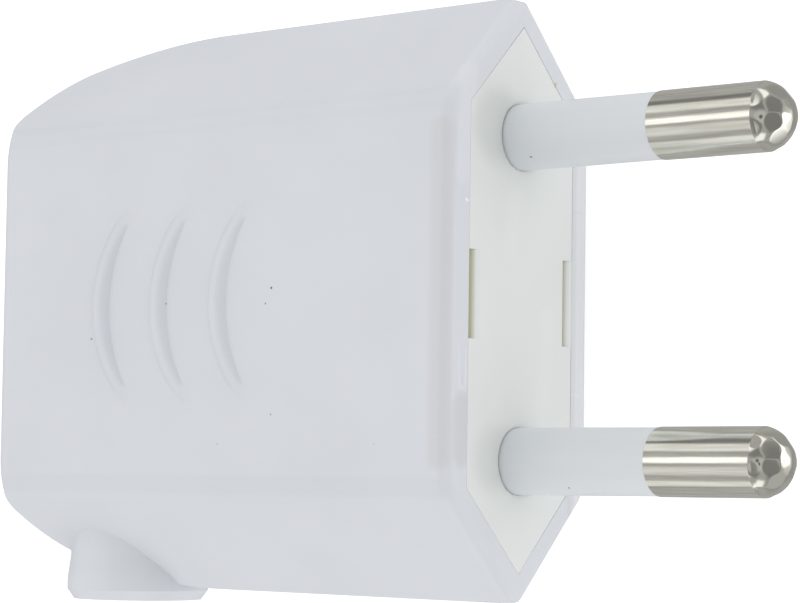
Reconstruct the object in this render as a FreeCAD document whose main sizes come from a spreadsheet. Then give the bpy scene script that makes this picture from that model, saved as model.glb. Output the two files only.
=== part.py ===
"""Flat two-pin mains plug, rewireable, with its pins, pin carrier, terminals and cord clamp.

Frame: the origin is the centre of the engagement face, between the pins. +X runs out along the
pins, +Y across the broad face and +Z up out of it. The plug lies on its lower broad face, and the
cord entry collar points to -Y near the rear end. All sizes are in millimetres and degrees.
"""
import os

import FreeCAD
import Part
import Sketcher
from FreeCAD import Placement, Rotation, Vector

SIZES = [
    # housing, outside
    ("housing_length", 37.8, "engagement face to rear end"),
    ("housing_thickness", 14.1, "between the two broad faces"),
    ("side_reach", 8.325, "axis of a pin to the housing's side at the front"),
    ("side_draft", 0.15, "each side is this much closer in where the shoulder starts"),
    ("bevel_reach", 6.425, "how far a bevel reaches in from the side"),
    ("side_flat", 1.3, "height of the narrow side face at the front"),
    ("shoulder_length", 14.8, "rear part of a side, which curves in"),
    ("shoulder_radius", 31.5, "radius of that curve"),
    ("corner_radius", 6.8, "radius of the rear corners, seen from above"),
    ("rim_round", 0.8, "rounding of the front rim's outer edge"),
    ("bevel_round", 2.4, "rounding between a broad face and its bevels"),
    ("rear_round", 1.6, "rounding of the rear end's edges"),
    # housing, inside
    ("rear_wall", 1.6, "thickness of the rear wall"),
    ("rim_side", 1.775, "housing beside the pin carrier, at its corner"),
    ("rim_broad", 2.0, "housing above and below the pin carrier"),
    ("rim_bevel", 6.725, "how far the carrier's bevel reaches in from the housing's side"),
    ("seat_step", 0.35, "ledge that the pin carrier is pushed against"),
    ("cavity_taper", 1.0, "how much closer the cavity's sides are where the rear corners start"),
    ("cavity_corner", 3.8, "how much closer again they are at its rear end"),
    ("fit_gap", 0.06, "gap round the pin carrier in the housing's mouth"),
    ("block_gap", 0.10, "gap round the terminal block in the cavity"),
    # grip ridges
    ("ridge_first", 17.95, "crest of the foremost ridge, behind the face"),
    ("ridge_pitch", 4.98, "distance from ridge to ridge"),
    ("ridge_bend", 8.4, "radius of a ridge's arc"),
    ("ridge_height", 0.45, "height of a crest above the broad face"),
    ("ridge_width", 1.5, "width of a ridge at the broad face"),
    ("ridge_crest", 0.5, "width of a ridge between the middles of its flanks"),
    ("ridge_lean", 9.5, "lean of a ridge's arc, which runs its ends out"),
    ("ridge_sweep", 104.0, "angle that a ridge's arc turns through"),
    # cord entry
    ("collar_inset", 6.8, "collar axis ahead of the rear end"),
    ("collar_stand", 0.725, "mouth of the collar outside the side's widest line"),
    ("collar_diameter", 9.2, "collar at its mouth"),
    ("collar_neck", 8.8, "collar where it grows out of the housing"),
    ("collar_flare", 1.35, "length of the collar's widest part with its lip"),
    ("collar_lip", 0.45, "bevel round the mouth"),
    ("collar_root", 7.0, "length of the collar that is sunk in the housing"),
    ("cord_bore", 6.2, "bore for the cord"),
    # latch
    ("notch_width", 5.2, "latch notch in the carrier's edge"),
    ("notch_height", 0.9, "depth of the notch from the carrier's broad edge"),
    ("notch_depth", 2.8, "depth of the notch behind the face"),
    ("lug_gap", 0.15, "gap round the latch lug in its notch"),
    ("lug_length", 1.3, "length of the latch lug with its ramp"),
    # pin carrier
    ("plate_thickness", 4.0, "carrier's front plate"),
    ("block_wall", 0.85, "terminal block behind a terminal slot"),
    ("tray_length", 24.4, "rear of the clamp tray behind the face"),
    ("tray_width", 17.0, "width of the clamp tray"),
    ("tray_floor", 1.5, "thickness of the tray's floor"),
    ("sleeve_gap", 0.25, "step down of a sleeve where it goes into the carrier"),
    ("ring_gap", 0.18, "open ring round each sleeve in the face"),
    ("ring_depth", 0.7, "depth of that ring"),
    # pins and sleeves
    ("pin_spacing", 19.2, "pin axis to pin axis"),
    ("pin_diameter", 4.0, "bare metal of a pin"),
    ("pin_length", 18.5, "engagement face to pin tip"),
    ("sleeve_reach", 10.0, "insulated length of a pin"),
    ("sleeve_base", 3.98, "sleeve diameter at the face"),
    ("sleeve_end", 3.92, "sleeve diameter at its joint with the metal"),
    ("neck_diameter", 2.9, "pin inside its sleeve"),
    ("tip_length", 1.6, "rounded tip of a pin"),
    ("tip_flat", 1.5, "diameter of the flat on the tip"),
    ("flange_diameter", 5.4, "anchor flange moulded into the carrier"),
    ("flange_depth", 2.0, "front of the anchor flange behind the face"),
    ("flange_thickness", 1.0, "thickness of the anchor flange"),
    # terminals
    ("shank_diameter", 3.4, "pin between its anchor flange and its terminal head"),
    ("head_diameter", 6.0, "terminal head of a pin"),
    ("head_start", 4.4, "front of the terminal head behind the face"),
    ("head_length", 8.0, "length of the terminal head"),
    ("slot_gap", 0.15, "gap beside and behind a terminal head in its slot"),
    ("slot_wall", 1.2, "wall between a terminal slot and the open middle"),
    ("wire_gate", 3.4, "opening for the wire behind a terminal slot"),
    ("wire_bore", 2.6, "hole for the wire in a terminal head"),
    ("wire_depth", 6.4, "depth of the wire hole"),
    ("terminal_thread", 3.0, "terminal screw thread"),
    ("terminal_setback", 9.4, "terminal screw behind the face"),
    ("terminal_seat", 0.4, "depth of the flat under a terminal screw's head"),
    ("terminal_head", 4.6, "diameter of a terminal screw's head"),
    ("terminal_head_height", 1.1, "height of a terminal screw's head"),
    ("terminal_tip", 0.3, "tip of a terminal screw above the pin's axis"),
    # cord clamp
    ("clamp_inset", 4.4, "clamp bar ahead of the tray's rear end"),
    ("clamp_spacing", 10.6, "clamp screw to clamp screw"),
    ("clamp_bar_end", 2.3, "clamp bar beyond a screw's axis"),
    ("clamp_bar_width", 4.6, "width of the clamp bar"),
    ("clamp_bar_thickness", 1.6, "thickness of the clamp bar"),
    ("clamp_opening", 3.6, "height of the clamp's posts above the tray"),
    ("clamp_post", 4.2, "diameter of a clamp post"),
    ("clamp_rib", 0.7, "height of the gripping ribs"),
    ("clamp_rib_width", 1.8, "thickness of the gripping ribs"),
    ("clamp_rib_length", 5.2, "length of the gripping ribs"),
    ("clamp_thread", 2.4, "clamp screw thread"),
    ("clamp_screw_length", 4.8, "clamp screw below its head"),
    ("clamp_screw_gap", 0.2, "gap round a clamp screw in the bar"),
    ("clamp_head", 4.2, "diameter of a clamp screw's head"),
    ("clamp_head_height", 1.3, "height of a clamp screw's head"),
    # screwdriver slots
    ("slot_width", 0.7, "screwdriver slot"),
    ("slot_depth", 0.6, "depth of a screwdriver slot"),
]

FOLLOWING = [
    ("half_width", "=pin_spacing / 2 + side_reach", "middle plane to the side at the front"),
    ("shoulder_start", "=housing_length - shoulder_length", "where the sides start to curve in"),
    ("draft_angle", "=atan(side_draft / shoulder_start)", "draft of a side"),
    ("curve_x", "=shoulder_radius * sin(draft_angle) - shoulder_start", "centre of a shoulder's curve"),
    ("curve_y", "=half_width - side_draft - shoulder_radius * cos(draft_angle)", "the same across"),
    ("corner_x", "=corner_radius - housing_length", "centre of a rear corner's curve"),
    ("corner_rest", "=shoulder_radius - corner_radius", "from centre to centre of the two curves"),
    ("corner_y", "=curve_y + sqrt(corner_rest^2 - (corner_x - curve_x)^2)", "the same across"),
    ("meet_x", "=curve_x + (corner_x - curve_x) * shoulder_radius / corner_rest", "where they meet"),
    ("meet_y", "=curve_y + (corner_y - curve_y) * shoulder_radius / corner_rest", "the same across"),
    ("bevel_angle", "=atan((housing_thickness - side_flat) / 2 / bevel_reach)", "slope of a bevel"),
    ("bevel_run", "=bevel_round * tan(bevel_angle / 2)", "a bevel's rounding on each side of its edge"),
    ("block_length", "=head_start + head_length + slot_gap + block_wall", "rear of the terminal block"),
    ("clamp_setback", "=tray_length - clamp_inset", "clamp bar behind the face"),
]

doc = FreeCAD.newDocument("plug")
sheet = doc.addObject("Spreadsheet::Sheet", "Sizes")
for line, (alias, value, meaning) in enumerate(SIZES + FOLLOWING, start=1):
    sheet.set("A%d" % line, alias)
    sheet.set("B%d" % line, str(value))
    sheet.set("C%d" % line, meaning)
    sheet.setAlias("B%d" % line, alias)
doc.recompute()


def size(expression):
    """Number that an expression in the sheet's names comes to."""
    return float(sheet.evalExpression(expression))


def bound(expression):
    """The same expression as an object outside the sheet has to write it."""
    words = []
    word = ""
    for letter in expression + " ":
        if letter.isalnum() or letter in "_.":
            word += letter
        else:
            if word in NAMES:
                word = "Sizes." + word
            words.append(word + letter)
            word = ""
    return "".join(words).strip()


NAMES = {alias for alias, value, meaning in SIZES + FOLLOWING}


def origin_item(body, role):
    """Origin plane or axis of a body, found by its role."""
    for item in body.Origin.OriginFeatures:
        if item.Role == role:
            return item
    raise ValueError(role)


def new_body(label):
    """Empty body that will be written as one piece."""
    body = doc.addObject("PartDesign::Body", label)
    body.Label = label
    return body


def new_sketch(body, name, role, offset=None):
    """Sketch on an origin plane of its body, moved along the plane's normal."""
    sketch = body.newObject("Sketcher::SketchObject", name)
    sketch.AttachmentSupport = [(origin_item(body, role), "")]
    sketch.MapMode = "FlatFace"
    if offset is not None:
        sketch.setExpression(".AttachmentOffset.Base.z", bound(offset))
    return sketch


def fix_point(sketch, geometry, point, x, y):
    """Hold a point of a sketch at two expressions measured from its origin."""
    for kind, expression in (("DistanceX", x), ("DistanceY", y)):
        index = sketch.addConstraint(Sketcher.Constraint(kind, -1, 1, geometry, point, size(expression)))
        sketch.setExpression("Constraints[%d]" % index, bound(expression))


def add_polygon(sketch, corners):
    """Closed polygon whose corners are pairs of expressions."""
    spots = [Vector(size(x), size(y), 0) for x, y in corners]
    count = len(spots)
    first = len(sketch.Geometry)
    for i in range(count):
        sketch.addGeometry(Part.LineSegment(spots[i], spots[(i + 1) % count]), False)
    for i in range(count):
        after = first + (i + 1) % count
        sketch.addConstraint(Sketcher.Constraint("Coincident", first + i, 2, after, 1))
    for i, (x, y) in enumerate(corners):
        fix_point(sketch, first + i, 1, x, y)


def add_box(sketch, x_low, x_high, y_low, y_high):
    """Rectangle between expressions."""
    add_polygon(sketch, [(x_low, y_low), (x_high, y_low), (x_high, y_high), (x_low, y_high)])


def add_circle(sketch, x, y, radius):
    """Circle with its centre and radius held by expressions."""
    centre = Vector(size(x), size(y), 0)
    circle = sketch.addGeometry(Part.Circle(centre, Vector(0, 0, 1), size(radius)), False)
    fix_point(sketch, circle, 3, x, y)
    index = sketch.addConstraint(Sketcher.Constraint("Radius", circle, size(radius)))
    sketch.setExpression("Constraints[%d]" % index, bound(radius))
    return circle


def add_pad(body, name, sketch, length, reverse=False, middle=False):
    """Pad of a sketch by an expression."""
    pad = body.newObject("PartDesign::Pad", name)
    pad.Profile = sketch
    pad.Length = size(length)
    pad.setExpression("Length", bound(length))
    pad.Reversed = reverse
    pad.Midplane = middle
    sketch.Visibility = False
    return pad


def add_pocket(body, name, sketch, length, reverse=False, middle=False):
    """Pocket of a sketch by an expression, which has to take material away."""
    doc.recompute()
    before = body.Shape.Volume
    pocket = body.newObject("PartDesign::Pocket", name)
    pocket.Profile = sketch
    pocket.Length = size(length)
    pocket.setExpression("Length", bound(length))
    pocket.Reversed = reverse
    pocket.Midplane = middle
    doc.recompute()
    if not body.Shape.Volume < before - 1e-6:
        raise RuntimeError(name + " cuts nothing")
    return pocket


def add_turn(body, name, kind, sketch, axis, angle="360", middle=False):
    """Revolution or groove of a sketch about an axis of the body or of the sketch."""
    turn = body.newObject("PartDesign::" + kind, name)
    turn.Profile = sketch
    turn.ReferenceAxis = axis
    turn.Angle = size(angle)
    turn.setExpression("Angle", bound(angle))
    turn.Midplane = middle
    doc.recompute()
    return turn


def add_edge_feature(body, name, kind, expression, wanted):
    """Fillet or chamfer on every edge of the body that the test picks."""
    doc.recompute()
    base = body.Tip
    names = ["Edge%d" % (i + 1) for i, edge in enumerate(base.Shape.Edges) if wanted(edge)]
    if not names:
        raise RuntimeError(name + " finds no edge")
    feature = body.newObject("PartDesign::" + kind, name)
    feature.Base = (base, names)
    cell = "Radius" if kind == "Fillet" else "Size"
    setattr(feature, cell, size(expression))
    feature.setExpression(cell, bound(expression))
    doc.recompute()
    return feature


# Half width at the corners, half width of the broad flats and half height of a six-sided section.

CARRIER = ("half_width - rim_side", "half_width - rim_bevel", "housing_thickness / 2 - rim_broad")


def grown(section, gap):
    """A six-sided section moved out by a gap all round, or in by a negative one."""
    return tuple("%s + (%s) * %s" % (part, gap, share) for part, share in zip(section, ("1.4", "0.4", "1")))


MOUTH = grown(CARRIER, "fit_gap")
SEAT = grown(CARRIER, "fit_gap - seat_step")
BLOCK = grown(CARRIER, "fit_gap - seat_step - block_gap")
TRAY_TOP = "-(%s) + tray_floor" % BLOCK[2]
COLLAR_X = "-(housing_length - collar_inset)"
COLLAR_MOUTH = "-(half_width + collar_stand)"


def six_corners(half_width, half_flat, half_height):
    """Corners of the hexagonal section of the mouth and of the pin carrier."""
    top = [(half_width, "0"), (half_flat, half_height), ("-(%s)" % half_flat, half_height)]
    return top + [("-(%s)" % y, "-(%s)" % z) for y, z in top]


def add_axis(sketch, x1, y1, x2, y2):
    """Construction line that a turned feature of this sketch goes round."""
    ends = [Vector(size(x), size(y), 0) for x, y in ((x1, y1), (x2, y2))]
    line = sketch.addGeometry(Part.LineSegment(ends[0], ends[1]), True)
    fix_point(sketch, line, 1, x1, y1)
    fix_point(sketch, line, 2, x2, y2)
    return (sketch, ["Axis0"])


def add_outline(sketch, corners, arcs):
    """Closed outline, some runs of which are arcs.

    The arcs are given by the number of the corner that they start at, with their radius and
    their centre, all as expressions.
    """
    spots = [Vector(size(x), size(y), 0) for x, y in corners]
    count = len(spots)
    ends = []
    for i in range(count):
        here, there = spots[i], spots[(i + 1) % count]
        if i in arcs:
            radius, x, y = arcs[i]
            circle = Part.Circle(Vector(size(x), size(y), 0), Vector(0, 0, 1), size(radius))
            turn = (there - circle.Center).cross(here - circle.Center).z
            first, last = (there, here) if turn > 0 else (here, there)
            arc = Part.ArcOfCircle(circle, circle.parameter(first), circle.parameter(last))
            line = sketch.addGeometry(arc, False)
            ends.append((line, 2, 1) if turn > 0 else (line, 1, 2))
            index = sketch.addConstraint(Sketcher.Constraint("Radius", line, size(radius)))
            sketch.setExpression("Constraints[%d]" % index, bound(radius))
        else:
            line = sketch.addGeometry(Part.LineSegment(here, there), False)
            ends.append((line, 1, 2))
    for i in range(count):
        line, near, far = ends[i]
        after = ends[(i + 1) % count]
        sketch.addConstraint(Sketcher.Constraint("Coincident", line, far, after[0], after[1]))
    for (line, near, far), (x, y) in zip(ends, corners):
        fix_point(sketch, line, near, x, y)


def make_outside(body):
    """Slab with the plug's outline from above, rounded at the rear, bevelled and rounded in front."""
    outline = new_sketch(body, "PlanOutline", "XY_Plane")
    corners = [
        ("0", "half_width"),
        ("-shoulder_start", "half_width - side_draft"),
        ("meet_x", "meet_y"),
        ("-housing_length", "corner_y"),
        ("-housing_length", "-corner_y"),
        ("meet_x", "-meet_y"),
        ("-shoulder_start", "-(half_width - side_draft)"),
        ("0", "-half_width"),
    ]
    arcs = {
        1: ("shoulder_radius", "curve_x", "curve_y"),
        2: ("corner_radius", "corner_x", "corner_y"),
        4: ("corner_radius", "corner_x", "-corner_y"),
        5: ("shoulder_radius", "curve_x", "-curve_y"),
    }
    add_outline(outline, corners, arcs)
    add_pad(body, "Slab", outline, "housing_thickness", middle=True)

    def at_rear(edge):
        box = edge.BoundBox
        return box.XMax < -size("housing_length") + 0.01 and box.ZLength < 0.01

    def at_front(edge):
        return edge.BoundBox.XMin > -0.01

    add_edge_feature(body, "RearRound", "Fillet", "rear_round", at_rear)
    bevels = new_sketch(body, "BevelSection", "YZ_Plane")
    for y_sign in ("", "-"):
        for z_sign in ("", "-"):
            add_bevel_cut(bevels, y_sign, z_sign)
    add_pocket(body, "Bevels", bevels, "housing_length + 1")
    add_edge_feature(body, "RimRound", "Fillet", "rim_round", at_front)


def add_bevel_cut(sketch, y_sign, z_sign):
    """What is cut off along one long edge: a bevel and its rounding into the broad face."""
    edge = "(half_width - bevel_reach)"
    face = "housing_thickness / 2"
    beyond = "(half_width + side_flat / 4 / tan(bevel_angle))"

    def at(y, z):
        return ("%s(%s)" % (y_sign, y), "%s(%s)" % (z_sign, z))

    corners = [
        at("%s - bevel_run" % edge, face),
        at("%s + bevel_run * cos(bevel_angle)" % edge, face + " - bevel_run * sin(bevel_angle)"),
        at(beyond, "side_flat / 4"),
        at(beyond, face + " + 1"),
        at("%s - bevel_run" % edge, face + " + 1"),
    ]
    centre = at("%s - bevel_run" % edge, face + " - bevel_round")
    add_outline(sketch, corners, {0: ("bevel_round",) + centre})


def make_ridges(body):
    """Grip ridges: arcs of a ring that lean, so that they run out into the broad faces."""
    turned = []
    for name, side in (("UpperRidge", ""), ("LowerRidge", "-")):
        sketch = new_sketch(body, name + "Section", "XZ_Plane")
        face = "housing_thickness / 2"
        crest = "-ridge_first"

        def at(along, above):
            return ("%s + (%s)" % (crest, along), "%s(%s + %s)" % (side, face, above))

        foot = "ridge_width / 2"
        knee = "ridge_crest / 2 + ridge_width / 8"
        corners = [
            at("-(%s) * 1.6" % foot, "-ridge_height"),
            at("-(%s)" % foot, "0"),
            at("-(%s)" % knee, "ridge_height * 0.72"),
            at("-ridge_crest / 4", "ridge_height"),
            at("ridge_crest / 4", "ridge_height"),
            at(knee, "ridge_height * 0.72"),
            at(foot, "0"),
            at("(%s) * 1.6" % foot, "-ridge_height"),
            at("(%s) * 1.6" % foot, "-ridge_height * 3"),
            at("-(%s) * 1.6" % foot, "-ridge_height * 3"),
        ]
        add_polygon(sketch, corners)
        near_x = crest + " + ridge_bend * cos(ridge_lean * 1deg)"
        near_z = "%s(%s - ridge_bend * sin(ridge_lean * 1deg))" % (side, face)
        far_x = near_x + " + ridge_bend * sin(ridge_lean * 1deg)"
        far_z = near_z + " %s ridge_bend * cos(ridge_lean * 1deg)" % (side or "+")
        axis = add_axis(sketch, near_x, near_z, far_x, far_z)
        doc.recompute()
        turned.append(add_turn(body, name, "Revolution", sketch, axis, "ridge_sweep", middle=True))
    rows = body.newObject("PartDesign::LinearPattern", "RidgeRow")
    rows.Originals = turned
    rows.Direction = (origin_item(body, "X_Axis"), [""])
    rows.Reversed = True
    rows.Length = size("ridge_pitch * 2")
    rows.setExpression("Length", bound("ridge_pitch * 2"))
    rows.Occurrences = 3
    body.Tip = rows
    doc.recompute()


def make_collar(body):
    """Round collar that the cord goes in through, a little wider at its mouth."""
    sketch = new_sketch(body, "CollarProfile", "XY_Plane")

    def at(diameter, behind_mouth):
        return ("%s + (%s) / 2" % (COLLAR_X, diameter), "%s + %s" % (COLLAR_MOUTH, behind_mouth))

    corners = [
        (COLLAR_X, "%s + collar_root" % COLLAR_MOUTH),
        at("collar_neck", "collar_root"),
        at("collar_neck", "collar_flare * 2.1"),
        at("collar_diameter", "collar_flare"),
        at("collar_diameter", "collar_lip * 1.4"),
        at("collar_diameter - collar_lip * 2", "0"),
        (COLLAR_X, COLLAR_MOUTH),
    ]
    add_polygon(sketch, corners)
    axis = add_axis(sketch, COLLAR_X, COLLAR_MOUTH, COLLAR_X, "0")
    doc.recompute()
    add_turn(body, "Collar", "Revolution", sketch, axis)


def make_cavity(body):
    """Mouth for the pin carrier, the ledge behind it and the cavity up to the rear wall."""
    mouth = new_sketch(body, "MouthSection", "YZ_Plane")
    add_polygon(mouth, six_corners(*MOUTH))
    add_pocket(body, "Mouth", mouth, "plate_thickness")
    room = new_sketch(body, "RoomSection", "YZ_Plane", "-plate_thickness")
    add_polygon(room, six_corners(*SEAT))
    add_pocket(body, "Room", room, "shoulder_start - plate_thickness")
    places = (
        ("shoulder_start", "0"),
        ("-corner_x", "cavity_taper"),
        ("housing_length - rear_wall", "cavity_taper + cavity_corner"),
    )
    sections = []
    for step, (behind, narrower) in enumerate(places):
        sketch = new_sketch(body, "CavitySection%d" % step, "YZ_Plane", "-(%s)" % behind)
        closer = " - (%s)" % narrower
        add_polygon(sketch, six_corners(SEAT[0] + closer, SEAT[1] + closer, SEAT[2]))
        sketch.Visibility = False
        sections.append(sketch)
    doc.recompute()
    before = body.Shape.Volume
    loft = body.newObject("PartDesign::SubtractiveLoft", "Cavity")
    loft.Profile = sections[0]
    loft.Sections = sections[1:]
    loft.Ruled = True
    doc.recompute()
    if not body.Shape.Volume < before:
        raise RuntimeError("the cavity cuts nothing")
    bore = new_sketch(body, "BoreSection", "XZ_Plane")
    add_circle(bore, COLLAR_X, "0", "cord_bore / 2")
    add_pocket(body, "CordBore", bore, "-(%s) + 1" % COLLAR_MOUTH, reverse=True)


def make_lugs(body):
    """Latch lugs on the broad walls of the mouth, each with a ramp towards the front."""
    sketch = new_sketch(body, "LugSection", "XZ_Plane")
    for side in ("", "-"):
        wall = "%s(%s + seat_step)" % (side, MOUTH[2])
        edge = "%s(%s)" % (side, MOUTH[2])
        nose = "%s(%s - notch_height + lug_gap)" % (side, CARRIER[2])
        rear = "-(notch_depth - lug_gap)"
        corners = [
            (rear, wall),
            (rear, nose),
            (rear + " + lug_length / 2", nose),
            (rear + " + lug_length", edge),
            (rear + " + lug_length", wall),
        ]
        add_polygon(sketch, corners)
    add_pad(body, "LatchLugs", sketch, "notch_width - lug_gap * 2", middle=True)
    doc.recompute()


def make_housing():
    """Hollow shell with bevelled sides, grip ridges, latch lugs and the cord collar."""
    body = new_body("housing")
    make_outside(body)
    make_ridges(body)
    make_collar(body)
    make_cavity(body)
    make_lugs(body)
    return body


def make_carrier():
    """Hexagonal plate that holds the pins, with the terminal block and the clamp tray behind it."""
    body = new_body("pin_carrier")
    face = new_sketch(body, "PlateSection", "YZ_Plane")
    add_polygon(face, six_corners(*CARRIER))
    add_pad(body, "Plate", face, "plate_thickness", reverse=True)
    block = new_sketch(body, "BlockSection", "YZ_Plane", "-plate_thickness")
    add_polygon(block, six_corners(*BLOCK))
    add_pad(body, "Block", block, "block_length - plate_thickness", reverse=True)
    tray = new_sketch(body, "TraySection", "YZ_Plane", "-plate_thickness")
    add_box(tray, "-tray_width / 2", "tray_width / 2", "-(%s)" % BLOCK[2], TRAY_TOP)
    add_pad(body, "Tray", tray, "tray_length - plate_thickness", reverse=True)

    middle = new_sketch(body, "MiddleOutline", "XY_Plane", TRAY_TOP)
    reach = "pin_spacing / 2 - head_diameter / 2 - slot_gap - slot_wall"
    add_box(middle, "-(block_length + 1)", "-head_start", "-(%s)" % reach, reach)
    add_pocket(body, "OpenMiddle", middle, "housing_thickness", reverse=True)
    cradles = new_sketch(body, "CradleSection", "YZ_Plane", "-head_start")
    slots = new_sketch(body, "SlotOutline", "XY_Plane")
    gates = new_sketch(body, "GateOutline", "XY_Plane", "-wire_gate / 2")
    for side in ("", "-"):
        axis = "%spin_spacing / 2" % side
        beside = "(head_diameter / 2 + slot_gap)"
        rear = "-(head_start + head_length + slot_gap)"
        add_circle(cradles, axis, "0", beside)
        add_box(slots, rear, "-head_start", "%s - %s" % (axis, beside), "%s + %s" % (axis, beside))
        add_box(gates, "-(block_length + 1)", "-(head_start + head_length)",
                axis + " - wire_gate / 2", axis + " + wire_gate / 2")
    add_pocket(body, "Cradles", cradles, "head_length + slot_gap")
    add_pocket(body, "TerminalSlots", slots, "housing_thickness", reverse=True)
    add_pocket(body, "WireGates", gates, "housing_thickness", reverse=True)

    notches = new_sketch(body, "NotchOutline", "YZ_Plane")
    for side in ("", "-"):
        add_box(notches, "-notch_width / 2", "notch_width / 2",
                "%s(%s - notch_height)" % (side, CARRIER[2]), "%s(%s + 1)" % (side, CARRIER[2]))
    add_pocket(body, "LatchNotches", notches, "notch_depth")

    for name, side in (("Right", ""), ("Left", "-")):
        profile = new_sketch(body, name + "PinRoom", "XY_Plane")
        axis_y = "%spin_spacing / 2" % side

        def out(radius):
            return "%s + %s" % (axis_y, radius)

        corners = [
            ("0.5", axis_y),
            ("0.5", out("sleeve_base / 2 + ring_gap")),
            ("-ring_depth", out("sleeve_base / 2 + ring_gap")),
            ("-ring_depth", out("sleeve_base / 2 - sleeve_gap")),
            ("-flange_depth", out("sleeve_base / 2 - sleeve_gap")),
            ("-flange_depth", out("flange_diameter / 2")),
            ("-(flange_depth + flange_thickness)", out("flange_diameter / 2")),
            ("-(flange_depth + flange_thickness)", out("shank_diameter / 2")),
            ("-(head_start + 0.5)", out("shank_diameter / 2")),
            ("-(head_start + 0.5)", axis_y),
        ]
        add_polygon(profile, corners)
        axis = add_axis(profile, "-head_start", axis_y, "1", axis_y)
        doc.recompute()
        before = body.Shape.Volume
        add_turn(body, name + "PinHole", "Groove", profile, axis)
        if not body.Shape.Volume < before:
            raise RuntimeError("a pin hole cuts nothing")

    posts = new_sketch(body, "PostOutline", "XY_Plane", TRAY_TOP)
    holes = new_sketch(body, "PostHoles", "XY_Plane", TRAY_TOP + " + clamp_opening")
    for side in ("", "-"):
        add_circle(posts, "-clamp_setback", "%sclamp_spacing / 2" % side, "clamp_post / 2")
        add_circle(holes, "-clamp_setback", "%sclamp_spacing / 2" % side, "clamp_thread / 2")
    add_pad(body, "ClampPosts", posts, "clamp_opening")
    saddle = new_sketch(body, "SaddleOutline", "XY_Plane", TRAY_TOP)
    add_box(saddle, "-(clamp_setback + clamp_rib_width / 2)", "-(clamp_setback - clamp_rib_width / 2)",
            "-clamp_rib_length / 2", "clamp_rib_length / 2")
    add_pad(body, "Saddle", saddle, "clamp_rib")
    add_pocket(body, "ScrewHoles", holes, "clamp_screw_length - clamp_bar_thickness + 0.3")
    return body


def place(body, x, y, z, turn=0):
    """Move a body by expressions, after turning it about Z."""
    body.Placement = Placement(Vector(size(x), size(y), size(z)), Rotation(Vector(0, 0, 1), turn))
    for letter, expression in (("x", x), ("y", y), ("z", z)):
        body.setExpression(".Placement.Base." + letter, bound(expression))


def make_pin(label, side):
    """Turned pin: domed tip, bare end, neck, anchor flange and drilled terminal head."""
    body = new_body(label)
    profile = new_sketch(body, "PinProfile", "XY_Plane")
    rear = "-(head_start + head_length)"
    anchor = "-(flange_depth + flange_thickness)"
    corners = [
        (rear, "0"),
        (rear, "head_diameter / 2"),
        ("-head_start", "head_diameter / 2"),
        ("-head_start", "shank_diameter / 2"),
        (anchor, "shank_diameter / 2"),
        (anchor, "flange_diameter / 2"),
        ("-flange_depth", "flange_diameter / 2"),
        ("-flange_depth", "neck_diameter / 2"),
        ("sleeve_reach", "neck_diameter / 2"),
        ("sleeve_reach", "pin_diameter / 2"),
        ("pin_length - tip_length", "pin_diameter / 2"),
        ("pin_length - tip_length * 0.55", "pin_diameter * 0.43"),
        ("pin_length - tip_length * 0.2", "pin_diameter * 0.31"),
        ("pin_length", "tip_flat / 2"),
        ("pin_length", "0"),
    ]
    add_polygon(profile, corners)
    axis = add_axis(profile, rear, "0", "pin_length", "0")
    doc.recompute()
    add_turn(body, "Turned", "Revolution", profile, axis)
    seat = new_sketch(body, "SeatOutline", "XY_Plane", "head_diameter / 2 - terminal_seat")
    add_circle(seat, "-terminal_setback", "0", "terminal_head / 2 + slot_gap")
    add_pocket(body, "ScrewSeat", seat, "terminal_seat + 1", reverse=True)
    wire = new_sketch(body, "WireOutline", "YZ_Plane", rear)
    add_circle(wire, "0", "0", "wire_bore / 2")
    add_pocket(body, "WireHole", wire, "wire_depth", reverse=True)
    thread = new_sketch(body, "ThreadOutline", "XY_Plane")
    add_circle(thread, "-terminal_setback", "0", "terminal_thread / 2")
    add_pocket(body, "ThreadHole", thread, "head_diameter", reverse=True)
    place(body, "0", "%spin_spacing / 2" % side, "0")
    return body


def make_sleeve(label, side):
    """Insulating sleeve on the neck of a pin, very slightly tapered."""
    body = new_body(label)
    profile = new_sketch(body, "SleeveProfile", "XY_Plane")
    corners = [
        ("-flange_depth", "neck_diameter / 2"),
        ("-flange_depth", "sleeve_base / 2 - sleeve_gap"),
        ("-ring_depth", "sleeve_base / 2 - sleeve_gap"),
        ("-ring_depth", "sleeve_base / 2"),
        ("sleeve_reach", "sleeve_end / 2"),
        ("sleeve_reach", "neck_diameter / 2"),
    ]
    add_polygon(profile, corners)
    axis = add_axis(profile, "-flange_depth", "0", "sleeve_reach", "0")
    doc.recompute()
    add_turn(body, "Moulded", "Revolution", profile, axis)
    place(body, "0", "%spin_spacing / 2" % side, "0")
    return body


def make_screw(label, thread, length, head, height, x, y, z, turn):
    """Slotted screw that stands on the plane z=0 of its own frame, with its thread below."""
    body = new_body(label)
    profile = new_sketch(body, "ScrewProfile", "XZ_Plane")
    corners = [
        ("0", "-(%s)" % length),
        ("%s / 2" % thread, "-(%s)" % length),
        ("%s / 2" % thread, "0"),
        ("%s / 2" % head, "0"),
        ("%s / 2" % head, height),
        ("0", height),
    ]
    add_polygon(profile, corners)
    axis = add_axis(profile, "0", "-(%s)" % length, "0", height)
    doc.recompute()
    add_turn(body, "Turned", "Revolution", profile, axis)
    slot = new_sketch(body, "SlotOutline", "XY_Plane", height)
    add_box(slot, "-(%s)" % head, head, "-slot_width / 2", "slot_width / 2")
    add_pocket(body, "DriverSlot", slot, "slot_depth")
    place(body, x, y, z, turn)
    return body


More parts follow.
